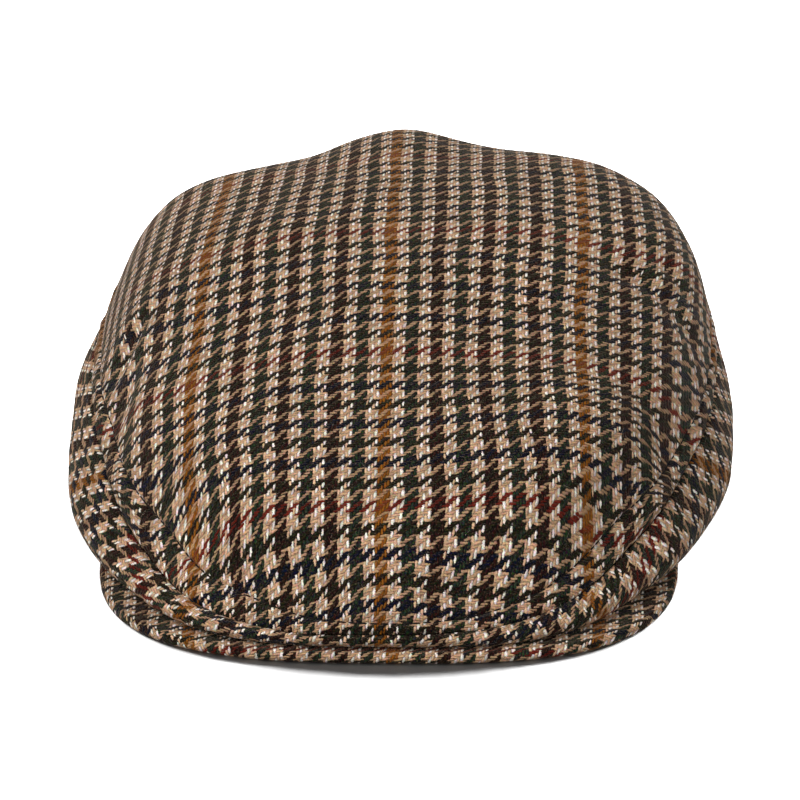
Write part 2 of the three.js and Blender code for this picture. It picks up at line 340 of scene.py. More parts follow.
class PanelCloth:
    """Threads of the top panel: across from the middle line at one y, and along it, less the
    bow of the weft. Both follow the length over the cloth between the coloured lines."""

    HALF = 150  # reach of the grids that lengths are measured on
    # y, and the x from the middle line of the orange lines to its left and right
    ORANGE = ((-150, -59, 65), (-100, -59.3, 64.6), (-81, -62.6, 63.5), (-48, -63.3, 62.1),
              (-17, -62.2, 62.2), (15, -61.9, 63.6), (39, -59.7, 63.4), (69, -57.7, 62.2),
              (150, -56, 60))
    RED = (-108, -50, 8, 69.5)  # y of the red rows on the middle line
    MORE = 3  # repeats of the pattern beyond them, each way
    # Rows below are (y, at the left, at the right). The bow is given at this x from the middle.
    BOW_AT = 60
    BOW_ROWS = ((-140, 9, 17), (-108, 9, 16), (-85, 6.5, 14), (-65, 2.5, 8), (-50, 0, 0),
                (8, 8, 2), (69, -5, 8), (130, -5, 8))
    # Past that x the weft swings back more, by these lengths at EDGE_REACH further out.
    EDGE_REACH = 33
    EDGE_ROWS = ((-110, 75, 60), (-65, 75, 50), (-52, 60, 26), (-42, 32, 17.5), (-32, 22, 13),
                 (-24, 20, 12), (20, 12, 7), (60, 0, 0))
    # The cloth is stretched round the front corners, so that a steep slope takes few more
    # threads than a flat one: y, and the steepest slope that is counted across
    SLOPES = ((-12, 0.65), (30, 3))
    STEEPEST_ALONG = 3

    def __init__(self):
        self.steps = np.arange(-self.HALF, self.HALF + 1, 1.0)
        at = self.steps + CROWN_AXIS[1]
        z = self.heights()
        steepest = np.interp(at, *np.array(self.SLOPES).T)
        slopes = np.minimum(np.abs(np.gradient(z, axis=0)), steepest)
        self.across = self.lengths(np.hypot(1, slopes))
        squared = np.minimum(np.gradient(z[self.HALF]) ** 2, self.STEEPEST_ALONG ** 2)
        self.along = self.lengths(np.sqrt(1 + squared)[:, None])[:, 0]
        y, *sides = np.array(self.ORANGE, float).T
        self.scale = [REPEAT / np.abs(self.sample(
            self.across, np.interp(at, y, x) + self.HALF, self.steps + self.HALF))
            for x in sides]
        rows = np.interp(np.array(self.RED) - CROWN_AXIS[1], self.steps, self.along)
        before, after = rows[1] - rows[0], rows[-1] - rows[-2]
        more = np.arange(1, self.MORE + 1)
        self.rows = np.concatenate([rows[0] - before * more[::-1], rows, rows[-1] + after * more])

    def heights(self):
        """The crown's height over a grid of x and y from its axis, a millimetre apart."""
        turns, radii = np.arange(0, 361, 1.0), np.arange(0, self.HALF, 0.5)
        grid = plain(turns[None, :], np.linspace(0, BULGE, 400)[:, None])
        r = np.hypot(grid[..., 0] - CROWN_AXIS[0], grid[..., 1] - CROWN_AXIS[1])
        r = np.maximum.accumulate(r, axis=0)
        height = np.stack([np.interp(radii, r[:, k], grid[:, k, 2]) for k in range(len(turns))])
        x, y = np.meshgrid(self.steps, self.steps, indexing="ij")
        return self.sample(height, np.mod(np.degrees(np.arctan2(x, -y)), 360),
                           np.minimum(np.hypot(x, y), radii[-2]) * 2)

    def lengths(self, stretch):
        """Running length over the cloth along the first axis, nought in the middle."""
        total = np.cumsum((stretch[1:] + stretch[:-1]) / 2, axis=0)
        total = np.concatenate([np.zeros((1, stretch.shape[1])), total])
        return total - total[self.HALF]

    @staticmethod
    def sample(grid, a, b):
        """The grid's value between its points, at row a and column b."""
        i = np.clip(np.floor(a).astype(int), 0, grid.shape[0] - 2)
        j = np.clip(np.floor(b).astype(int), 0, grid.shape[1] - 2)
        s, t = a - i, b - j
        return ((grid[i, j] * (1 - s) + grid[i + 1, j] * s) * (1 - t)
                + (grid[i, j + 1] * (1 - s) + grid[i + 1, j + 1] * s) * t)

    @staticmethod
    def by_side(rows, x, y):
        """The rows' values at y, on the side that x is on."""
        at, *sides = np.array(rows, float).T
        left, right = (np.interp(y, at - CROWN_AXIS[1], side) for side in sides)
        return np.where(x < 0, left, right)

    def __call__(self, points):
        x, y = points[..., 0] - CROWN_AXIS[0], points[..., 1] - CROWN_AXIS[1]
        across = self.sample(self.across, x + self.HALF, y + self.HALF)
        left, right = (np.interp(y, self.steps, scale) for scale in self.scale)
        across = across * np.where(x < 0, left, right) / THREAD
        past = np.maximum(np.abs(x) - self.BOW_AT, 0) / self.EDGE_REACH
        bow = (self.by_side(self.BOW_ROWS, x, y) * (x / self.BOW_AT) ** 2
               + self.by_side(self.EDGE_ROWS, x, y) * past ** 3)
        along = np.interp(y, self.steps, self.along) - bow
        along = np.interp(along, self.rows,
                          REPEAT * (np.arange(len(self.rows), dtype=float) - self.MORE))
        return joined(across, along)


def threads(cloth, line, row):
    """Places (x, y) on a flat cloth as threads of the pattern, which has an orange line at x
    = line and a red row at y = row."""
    return joined((cloth[..., 0] - line) / THREAD, (cloth[..., 1] - row) / THREAD)


def panel_inward(points, distance, line):
    """How far the panel's cloth lies inside its plain surface, at a distance from the seam.
    line is the stitches' distance from it."""
    return (crease_depth(points) + notch(distance, GROOVE)
            + notch(distance - line, STITCH_SINK)
            - PUFF * np.clip(1 - ((distance - line / 2) / (line / 2)) ** 2, 0, 1)
            - puckers(points, distance) - uneven(points))


FAR_ROWS = 88  # rows of the panel that are evenly spaced
# Rows near the seam start at this distance from it, and are closest this near the stitches
NEAR_SEAM = 15
BY_STITCHES = 1.8
PANEL_EDGE = 0.75  # thickness of the panel's edge, as a share of the cloth's
INSIDE_STEP = 3  # rows of the outside for each row of the inside
INSIDE_PLACE = 0.995  # place of an inside row, as a share of the outside's
# Centres and radii of the outside and the inside in the bake map
PANEL_DISCS = (((0.405, 0.405), 0.395), ((0.82, 0.82), 0.17))


def panel_places(last_span, line):
    """Places of the panel's rows: those far from the seam, and those near it."""
    high, low = line + BY_STITCHES, line - BY_STITCHES
    near = np.concatenate([np.linspace(NEAR_SEAM, high, 6)[:-1], np.linspace(high, low, 15),
                           np.linspace(low, SEAM_GAP / 2, 8)[1:]])
    near = SEAM - near / last_span
    return (np.arange(FAR_ROWS)[:, None] + 1) / (FAR_ROWS + 1) * near[:1], near


def build_panel():
    azimuth = azimuth_columns()[None, :]
    last_span = sections(azimuth)[1][..., SHOULDER]
    line = STITCH_LINE(azimuth)[0]
    far, near = panel_places(last_span, line)
    outer = np.concatenate([far, near])
    plain_points = plain(azimuth, outer)
    inward = panel_inward(plain_points, (SEAM - outer) * last_span, line)
    points = plain_points - crown_normals(azimuth, outer) * inward[..., None]

    edge = SEAM - SEAM_GAP / 2 / last_span
    inner = np.concatenate([edge, edge, far[::-INSIDE_STEP] * INSIDE_PLACE])
    inner_plain = plain(azimuth, inner)
    depth = np.full(inner.shape, CLOTH)
    depth[0] = CLOTH * PANEL_EDGE
    depth[:2] += GROOVE["depth"] * BESIDE_GROOVE
    inner_points = inner_plain - crown_normals(azimuth, inner) * (
        depth + crease_depth(inner_plain) - uneven(inner_plain))[..., None]

    cloth = PanelCloth()
    everywhere = azimuth_columns(1)[None, :]
    bake = np.concatenate([
        np.stack(polar(centre, everywhere, radius * (closed(places) / SEAM)), -1)
        for places, (centre, radius) in zip((outer, inner), PANEL_DISCS)])
    top = np.array([*CROWN_AXIS, CROWN_TOP], float)
    up = unit(np.array([-TOP_SLOPE[0], -TOP_SLOPE[1], 1.0]))
    poles = [top + up * uneven(top), top + up * (uneven(top) - CLOTH)]
    middle = cloth(top[None])[0]
    return closed_mesh("top_panel_cloth", np.concatenate([points, inner_points]),
                       {CLOTH_MAP: cloth(closed(np.concatenate([plain_points, inner_plain]))),
                        BAKE_MAP: bake}, poles,
                       {CLOTH_MAP: [middle, middle],
                        BAKE_MAP: [centre for centre, _ in PANEL_DISCS]})


BAND_TURN = 0.0045  # how fast the band's cut curves, in radians for each millimetre
BAND_RED_ROW = 39.3  # a red row of the band, were it to reach up into the panel
# How the seam is eased: lengths along it, and the band's own lengths there
EASE = ((-420, -375), (-146.5, -136.4), (-63.3, -64.9), (0.3, 0), (70.5, 64.9), (158, 136.4),
        (420, 360))


def band_cloth(along_seam, below):
    """Flat pattern of the band: its seam edge is an arc, square to the threads in front."""
    seam, own = np.array(EASE).T
    turn = BAND_TURN * np.interp(along_seam, seam, own)
    return joined(np.sin(turn) / BAND_TURN - below * np.sin(turn),
                  -(1 - np.cos(turn)) / BAND_TURN - below * np.cos(turn))


# Rows of the band's mesh: from a knot to a knot, and how many with both ends
BAND_ROWS = ((SEAM, BULGE, 27), (BULGE, FOLD, 17), (FOLD, TREAD_EDGE, 7), (TREAD_EDGE, RIM, 7))
LEAST_STEP = 0.01  # places between rows at the seam
SOFT_TO = 0.6  # the unevenness fades out over this much of a place past the bulge
BAND_STRIPS = 4  # lengths that the band's bake map is cut into
OUTSIDE_STRIP, INSIDE_STRIP = 0.72, 0.24  # width of the band's sides in a strip


def band_places(edge):
    """Places of the band's rows: those outside, and those inside."""
    steps = [np.linspace(start, end, rows)[:-1] for start, end, rows in BAND_ROWS]
    steps = np.concatenate([*steps, [RIM]])[1:, None]
    return (np.concatenate([edge, np.maximum(steps, edge + LEAST_STEP)]),
            np.concatenate([np.maximum(steps[::-2], edge + 3 * LEAST_STEP),
                            edge + 2 * LEAST_STEP]))


def build_band():
    azimuth = azimuth_columns()[None, :]
    outer, inner = band_places(SEAM + SEAM_GAP / 2 / sections(azimuth)[1][..., SEAM])
    soft, soft_inner = (np.clip((BULGE + SOFT_TO - places) / SOFT_TO, 0, 1)
                        for places in (outer, inner))
    plain_points = plain(azimuth, outer)
    travelled = run_along(plain_points)
    behind = np.abs(azimuth) > 90
    inward = (crease_depth(plain_points) + notch(travelled + SEAM_GAP / 2, GROOVE)
              + notch(plain_points[..., 0] - CROWN_AXIS[0], BACK_GROOVE) * behind
              - (uneven(plain_points) + puckers(plain_points, travelled)) * soft)
    points = plain_points - crown_normals(azimuth, outer) * inward[..., None]

    inner_plain = plain(azimuth, inner)
    depth = CLOTH + crease_depth(inner_plain) - uneven(inner_plain) * soft_inner
    depth[-1] += GROOVE["depth"] * BESIDE_GROOVE
    inner_points = inner_plain - crown_normals(azimuth, inner) * depth[..., None]

    along = run_along(closed(plain(azimuth, np.full_like(azimuth, SEAM)))[0])
    along -= along[TURNS // 2]
    inner_travelled = np.stack([np.interp(inner[:, k], outer[:, k], travelled[:, k])
                                for k in range(TURNS)], -1)
    below = closed(np.concatenate([travelled, inner_travelled, travelled[:1]]))
    cloth_map = threads(band_cloth(along[None, :], below), 0, BAND_RED_ROW)
    outside = below[:len(outer)] / below[:len(outer)].max() * OUTSIDE_STRIP
    inside = (1 - INSIDE_STRIP + INSIDE_STRIP * np.arange(len(inner) + 1)[:, None] / len(inner)
              * np.ones((1, TURNS + 1)))
    bake = strips(np.concatenate([outside, inside]), BAND_STRIPS, 1)
    return closed_mesh("side_band_cloth", np.concatenate([points, inner_points]),
                       {CLOTH_MAP: cloth_map, BAKE_MAP: bake})


STRIP_ENDS, STRIP_SIDES = 0.005, 0.01  # margins in the bake map


def strips(share, count, axis):
    """Bake map (rows, columns, 4 corners, 2) of a long strip, cut along the axis into count
    equal lengths, one above the other. share is each point's place across the strip."""
    index = np.meshgrid(*(np.arange(size - 1) for size in share.shape), indexing="ij")
    length = (share.shape[axis] - 1) // count
    strip = index[axis] // length
    corners = []
    for step in CORNERS:
        along = (index[axis] - strip * length + step[axis]) / length
        across = share[index[0] + step[0], index[1] + step[1]]
        corners.append(joined(
            STRIP_ENDS + (1 - 2 * STRIP_ENDS) * along,
            (strip + STRIP_SIDES + (1 - 2 * STRIP_SIDES) * across) / count))
    return np.stack(corners, -2)


PEAK_STATIONS = 321  # rings of the peak's mesh, from horn to horn
PEAK_BEND, PEAK_SHELF = 13, 30  # steps of a ring round an edge, and across the peak
PEAK_LIP = 1.5  # how far the peak's rounded edges reach in
PEAK_LINE = 0  # x of the peak's middle orange line
PEAK_RED_ROW = -134.5  # y of its red row
PEAK_UNEVEN = ((0.12, 8, 30), (0.1, 9, 12))
WRAP = 0.4  # share of the lip that the cloth's threads are carried round the front edge


def peak_curves():
    """Outer and inner edges of the peak in plan, from the -X horn to the +X horn."""
    middle = CROWN_AXIS[0] + PEAK_OFFSET
    length = PEAK_WIDEST - PEAK_FRONT

    def fullness(value):
        return np.sign(value) * np.abs(value) ** (2 / PEAK_POWER)

    turn = np.linspace(-math.pi / 2, math.pi / 2, 1201)
    edge = joined(middle + PEAK_HALF_WIDTH * fullness(np.sin(turn)),
                  PEAK_WIDEST - length * fullness(np.cos(turn)))
    turn = np.linspace(0, math.pi / 2, 101)[1:]
    horn_x = HORN_TIP[0] + (PEAK_HALF_WIDTH - HORN_TIP[0]) * np.cos(turn)
    horn_y = PEAK_WIDEST + (HORN_TIP[1] - PEAK_WIDEST) * np.sin(turn)
    left = joined(middle - horn_x, horn_y)[::-1]
    right = joined(middle + horn_x, horn_y)
    azimuth = np.linspace(-HORN_ANGLE, HORN_ANGLE, 601)
    inner = np.stack(polar(CROWN_AXIS, azimuth, COLUMN["rim_r"](azimuth)), -1)

    def even(curve):
        run = run_along(curve)
        at = np.linspace(0, run[-1], PEAK_STATIONS)
        return np.stack([np.interp(at, run, curve[:, k]) for k in (0, 1)], -1)

    return even(np.concatenate([left, edge, right])), even(inner)


def build_peak():
    outer, inner = peak_curves()
    across = unit(inner - outer)
    tangent = unit(np.gradient(outer, axis=0))
    outward = joined(tangent[:, 1], -tangent[:, 0])
    half = PEAK_THICKNESS / 2
    bend = np.radians(np.linspace(-90, 90, PEAK_BEND))
    shelf = np.linspace(0, 1, PEAK_SHELF)[1:-1]
    shelf_out, shelf_in = outer + across * PEAK_LIP, inner - across * PEAK_LIP
    ring, flat = [], []

    def add(plan, z, cloth=None):
        ring.append(np.concatenate([plan, np.full((len(plan), 1), z)], -1))
        flat.append(plan if cloth is None else cloth)

    for angle in bend:  # round the front edge, from below
        run = (angle - math.pi / 2) * half
        add(shelf_out - across * PEAK_LIP * math.cos(angle), half + half * math.sin(angle),
            shelf_out + outward * (PEAK_LIP * WRAP - run))
    for share in shelf:
        add(shelf_out + (shelf_in - shelf_out) * share, PEAK_THICKNESS)
    for angle in bend[::-1]:
        add(shelf_in + across * PEAK_LIP * math.cos(angle), half + half * math.sin(angle))
    for share in shelf[::-1]:
        add(shelf_out + (shelf_in - shelf_out) * share, 0.0)
    flat.append(shelf_out)
    points = np.stack(ring, 1)
    cloth_map = threads(np.stack(flat, 1), PEAK_LINE, PEAK_RED_ROW)
    points[..., :2] -= across[:, None, :] * relief(points, PEAK_UNEVEN)[..., None]
    middle = points[PEAK_STATIONS // 2]
    run = run_along(np.concatenate([middle, middle[:1]]))
    share = np.broadcast_to(run / run[-1], (PEAK_STATIONS, len(run)))
    return closed_mesh("peak_cloth", points, {CLOTH_MAP: cloth_map, BAKE_MAP: strips(share, 2, 0)},
                       [points[0].mean(0), points[-1].mean(0)],
                       {CLOTH_MAP: [cloth_map[0].mean(0), cloth_map[-1].mean(0)]})


def tubes(name, lines, radii, sides):
    """Closed tubes along many lines (count, rings, 3), each with its cell in the bake map."""
    count, rings = lines.shape[:2]
    tangent = unit(np.gradient(lines, axis=1))
    least = np.argmin(np.abs(tangent.mean(1)), axis=-1)
    side = unit(np.cross(tangent, np.eye(3)[least][:, None, :]))
    other = np.cross(tangent, side)
    angle = 2 * math.pi * np.arange(sides) / sides
    around = (np.cos(angle)[:, None] * side[:, :, None, :]
              + np.sin(angle)[:, None] * other[:, :, None, :])
    vertices = lines[:, :, None, :] + radii[:, :, None, None] * around
    c, i, k = np.meshgrid(np.arange(count), np.arange(rings - 1), np.arange(sides),
                          indexing="ij")
    corners = [(i, k), (i, k + 1), (i + 1, k + 1), (i + 1, k)]
    quads = np.stack([(c * rings + a) * sides + b % sides for a, b in corners], -1)
    cells = math.ceil(math.sqrt(count))
    # In its cell a tube's length runs across, and its ends are discs to the left.
    quad_uv = np.stack([joined(c % cells + 0.1 + 0.85 * a / (rings - 1),
                               c // cells + 0.05 + 0.9 * b / sides)
                        for a, b in corners], -2)
    which = np.arange(count)[:, None]
    ends = which * rings * sides + np.arange(sides)
    start, finish = ends[:, ::-1], ends + (rings - 1) * sides
    cap_uv = joined(which % cells + 0.05 + 0.02 * np.cos(angle),
                    which // cells + 0.5 + 0.3 * np.sin(angle))
    faces = quads.reshape(-1, 4).tolist() + start.tolist() + finish.tolist()
    uv = np.concatenate([quad_uv.reshape(-1, 2), cap_uv[:, ::-1].reshape(-1, 2),
                         cap_uv.reshape(-1, 2)]) / cells
    piece = make_object(name, vertices.reshape(-1, 3), faces, {BAKE_MAP: uv})
    piece["cells"] = cells
    return piece


STITCH = {"length": 2.7, "gap": 0.6, "radius": 0.27, "rings": 7, "sides": 6, "sink": 0.3,
          "rise": 0.2, "end_radius": 0.6}  # the last is a share of the radius


def build_topstitch():
    """Stitches in a line round the panel, each bowed up out of the cloth."""
    azimuth = np.linspace(-180, 180, 2881)
    away = STITCH_LINE(azimuth)
    place = SEAM - away / sections(azimuth)[1][:, SHOULDER]
    points, normals = plain(azimuth, place), crown_normals(azimuth, place)
    points = points - normals * panel_inward(points, away, away)[:, None]
    run = run_along(points)
    count = round(run[-1] / (STITCH["length"] + STITCH["gap"]))
    share = np.linspace(0, 1, STITCH["rings"])
    at = (np.arange(count)[:, None] * run[-1] / count
          + STITCH["gap"] / 2 + (run[-1] / count - STITCH["gap"]) * share)
    line, up = (np.stack([np.interp(at, run, values[:, k]) for k in range(3)], -1)
                for values in (points, normals))
    bow = np.sin(math.pi * share) ** 0.5 * (STITCH["sink"] + STITCH["rise"]) - STITCH["sink"]
    radii = np.full((count, STITCH["rings"]), STITCH["radius"])
    radii[:, (0, -1)] *= STITCH["end_radius"]
    return tubes("topstitch", line + unit(up) * bow[:, None], radii, STITCH["sides"])


FUZZ = {"count": 9000, "rings": 4, "sides": 3, "radius": 0.028, "tip_radius": 0.35,
        "length": (0.8, 2.2), "long_share": 0.06, "longer": 2.4, "rise": (0.15, 0.9),
        "curl": 0.55, "droop": 0.45, "root": 0.25, "lowest_root": 1.5, "lowest": 0.1}


def faces_of(pieces):
    """Centres in millimetres, normals and areas of the pieces' faces."""
    columns = {"center": 3, "normal": 3, "area": 1}
    found = {key: [] for key in columns}
    for piece in pieces:
        for key, width in columns.items():
            values = np.zeros(len(piece.data.polygons) * width, np.float32)
            piece.data.polygons.foreach_get(key, values)
            found[key].append(values.reshape(-1, width).astype(float))
    centres, normals, areas = (np.concatenate(values) for values in found.values())
    return centres / MM, normals, areas[:, 0]


def build_fuzz(cloths):
    """Loose wool fibres that stand out of the cloth, thinly spread."""
    random = np.random.default_rng(11)
    roots, normals, areas = faces_of(cloths)
    middle = np.array([*CROWN_AXIS, 20.0])
    outside = np.einsum("ij,ij->i", roots - middle, normals) > 0
    weight = areas * outside * (roots[:, 2] > FUZZ["lowest_root"])
    pick = random.choice(len(roots), FUZZ["count"], p=weight / weight.sum())
    root, normal = roots[pick], normals[pick]
    sideways = unit(np.cross(normal, random.normal(size=root.shape)))
    across = np.cross(normal, sideways)
    spread = random.uniform(-0.5, 0.5, len(pick)) * (np.sqrt(areas[pick]) / MM)
    root = root + sideways * spread[:, None]
    length = random.uniform(*FUZZ["length"], len(pick))
    long = random.uniform(size=len(pick)) < FUZZ["long_share"]
    length = np.where(long, length * FUZZ["longer"], length)
    rise = random.uniform(*FUZZ["rise"], len(pick))[:, None]
    start = unit(sideways + normal * rise)
    curl = (across * random.normal(0, FUZZ["curl"], (len(pick), 1))
            - normal * (rise * FUZZ["droop"]))
    share = np.linspace(0, 1, FUZZ["rings"])[None, :, None]
    line = (root - normal * FUZZ["root"])[:, None] + length[:, None, None] * (
        start[:, None] * share + curl[:, None] * share ** 2)
    line[..., 2] = np.maximum(line[..., 2], FUZZ["lowest"])
    radii = (FUZZ["radius"] * np.linspace(1, FUZZ["tip_radius"], FUZZ["rings"])
             * np.ones((len(pick), 1)))
    return tubes("wool_fuzz", line, radii, FUZZ["sides"])


def connect(tree, value, slot):
    if isinstance(value, Wire):
        tree.links.new(value.socket, slot)
    elif isinstance(value, tuple):
        slot.default_value = (*value, 1.0) if len(slot.default_value) == 4 else value
    else:
        slot.default_value = value


def add(tree, kind, inputs, **settings):
    """A new node's outputs. inputs is a dict, or the first inputs in their order."""
    node = tree.nodes.new("ShaderNode" + kind)
    for key, value in settings.items():
        setattr(node, key, value)
    for key, value in inputs.items() if isinstance(inputs, dict) else enumerate(inputs):
        connect(tree, value, node.inputs[key])
    return [Wire(tree, socket) for socket in node.outputs]


class Wire:
    """An output in a material's node tree. Its arithmetic adds nodes."""

    def __init__(self, tree, socket):
        self.tree, self.socket = tree, socket

    def math(self, operation, *others):
        return add(self.tree, "Math", (self, *others), operation=operation)[0]

    def __add__(self, other):
        return self.math("ADD", other)

    def __sub__(self, other):
        return self.math("SUBTRACT", other)

    def __mul__(self, other):
        return self.math("MULTIPLY", other)

    def flipped(self):
        """One less the value."""
        return self * -1.0 + 1.0

    def floor(self):
        return self.math("FLOOR")

    def wrap(self, period):
        return self.math("FLOORED_MODULO", period)

    def over(self, other):
        return self.math("GREATER_THAN", other)

    def ramp(self, start, end, low=0.0, high=1.0):
        return add(self.tree, "MapRange", (self, start, end, low, high),
                   interpolation_type="SMOOTHSTEP")[0]


class Finish:
    """A material, with a call for each kind of node that it is made of."""

    def __init__(self, name, uv_map=None):
        self.material = bpy.data.materials.new(name)
        self.material.use_nodes = True
        self.tree = self.material.node_tree
        self.uv = self.add("UVMap", (), uv_map=uv_map)[0] if uv_map else None

    def add(self, kind, inputs, **settings):
        return add(self.tree, kind, inputs, **settings)

    def surface(self, inputs):
        for key, value in inputs.items():
            connect(self.tree, value, self.tree.nodes["Principled BSDF"].inputs[key])

    def vector(self, x, y, z=0.0):
        return self.add("CombineXYZ", (x, y, z))[0]

    def mix(self, factor, low, high, blend="MIX"):
        """Inputs 6 and 7 and output 2 of this node are its colours."""
        return self.add("Mix", {0: factor, 6: low, 7: high}, data_type="RGBA",
                        blend_type=blend)[2]

    def shaded(self, colour, shade):
        return self.mix(1.0, colour, self.vector(shade, shade, shade), "MULTIPLY")

    def noise(self, where, scale, detail=1.0):
        """A noise's value and its colour."""
        return self.add("TexNoise", {"Vector": where, "Scale": scale, "Detail": detail})

    def dice(self, *corner):
        """Three numbers from 0 to 1, the same wherever the corner is the same."""
        _, colour = self.add("TexWhiteNoise", {"Vector": self.vector(*corner)})
        return self.add("SeparateColor", (colour,))


def srgb(*rgb):
    return tuple(c / 12.92 if c <= 0.04045 else ((c + 0.055) / 1.055) ** 2.4 for c in rgb)


YARN = {
    "cream": srgb(0.93, 0.89, 0.85),
    "peach": srgb(0.82, 0.67, 0.54),
    "camel": srgb(0.77, 0.61, 0.475),
    "green": srgb(0.13, 0.165, 0.125),
    "brown": srgb(0.145, 0.065, 0.045),
    "navy": srgb(0.035, 0.055, 0.12),
    "olive": srgb(0.12, 0.10, 0.05),
    "red": srgb(0.40, 0.12, 0.08),
    "orange": srgb(0.51, 0.3, 0.08),
}
# Dark yarns alternate by group, light yarns by thread, and the accent is one group a repeat.
WARP = {"dark": ("brown", "green"), "light": ("peach", "cream"), "accent": "orange",
        "lean": -0.1, "thin": 4.6, "float_end": (0.5, 1.35)}
WEFT = {"dark": ("navy", "olive"), "light": ("camel", "camel"), "accent": "red",
        "lean": -0.22, "thin": 5.4, "float_end": (0.7, 1.45)}
# How far threads stray from their lines: scale of the noise, and reach in threads
STRAY = ((0.05, 2.2), (0.45, 0.6), (2.2, 0.62))
# How floats differ from each other: where they end, how they lean and lie, and their shade
FLOAT = {"ends": 0.55, "lean": 0.3, "side": 0.24, "shade": (0.76, 0.44)}
# How much higher light yarn must stand to show over dark yarn: light warp, and light weft
HIDDEN_WARP, HIDDEN_WEFT = 0.55, 0.4
ACCENT = 0.35  # how much of that the accent is let off, and how far it tints the light weft
BLUR = 0.14  # half the height over which one yarn gives way to the other
# Painted shade: light in the hollows between yarns, the more where yarns both ways are light, and
# on top
HOLLOW, HOLLOW_ON_LIGHT, PAINTED_TOP_LIGHT = 0.1, 0.56, 1.12
HOLLOW_HEIGHTS = (-0.25, 0.95)
# Painted shade as well:
LONE_WEFT = 0.34  # light that is lost on a light weft among dark warps
# Noises of the fibres: how far each axis moves with u and with v, and the third axis
FIBRES = {"warp": ((4, 1.6), (0, 1.1), 1), "weft": ((1.1, 0), (1.6, 4), 5),
          "heather": ((1.7, -0.6), (0.6, 1.7), 3), "veil": ((1.5, 1.2), (-0.9, 1.5), 9)}
# Ramps: from and to, and the shades there
FIBRE_SHADE = (0.25, 0.75, 0.7, 1.26)
PATCH_SHADE = (0.3, 0.7, 0.93, 1.06)
VEIL = (0.52, 0.74, 0.0, 0.3)
FLECK = srgb(0.54, 0.46, 0.38)
HEATHER = 5.0  # how far the shades of a dark yarn's fibres part
HEATHER_ON_LIGHT = 0.2  # share of that in light yarn
RELIEF = {"height": 0.34, "fibres": 0.35}  # height of the bump in millimetres, fibres' share


def between(low, high, share):
    """High where share is 1, and low where it is 0."""
    return low + (high - low) * share


def stray(finish, seed):
    """The cloth's place in threads, across and along, with the threads a little out of line.
    The middle of a group is at nought."""
    across, along, _ = finish.add("SeparateXYZ", (finish.uv,))
    where = finish.vector(across, along, seed)
    for scale, reach in STRAY:
        _, colour = finish.noise(where, scale)
        moves = finish.add("SeparateColor", (colour,))
        across, along = (place + (move - 0.5) * reach
                         for place, move in zip((across, along), moves))
    return across + GROUP / 2, along + GROUP / 2


def dyed(finish, thread, yarn, rolls):
    """A thread's colour, 1 where its group is light or the accent, and 1 for the accent."""
    dark, light = ([YARN[name] for name in yarn[shade]] for shade in ("dark", "light"))
    group = (thread * (1 / GROUP)).floor()
    pair = (group * 0.5).wrap(REPEAT / GROUP / 2)
    accent = pair.math("LESS_THAN", 0.25)
    dark = finish.mix(accent, finish.mix(pair.wrap(2.0).over(0.75), *dark),
                      YARN[yarn["accent"]])
    light = finish.mix(thread.wrap(2.0).over(0.5), *light)
    is_light = group.wrap(2.0).over(0.5)
    accent = accent * is_light.flipped()
    darkest, more = FLOAT["shade"]
    colour = finish.shaded(finish.mix(is_light, dark, light), rolls[2] * more + darkest)
    return colour, is_light.math("MAXIMUM", accent), accent


def float_height(run, off, yarn, rolls):
    """Height of a yarn: level along a float, low at its ends and round across it. run counts
    threads along it from the start of a float, and off is the distance from its middle."""
    along = run.wrap(GROUP) - GROUP / 2 + (rolls[0] - 0.5) * FLOAT["ends"]
    side = (off + along * ((rolls[2] - 0.5) * FLOAT["lean"] + yarn["lean"])
            + (rolls[1] - 0.5) * FLOAT["side"])
    return (along.math("ABSOLUTE").ramp(*yarn["float_end"], 1.0, 0.0)
            - side * side * yarn["thin"])


def fibres(finish, u, v, kind):
    *axes, third = FIBRES[kind]
    return finish.noise(finish.vector(*(u * a + v * b for a, b in axes), third), 1.0, 2.0)


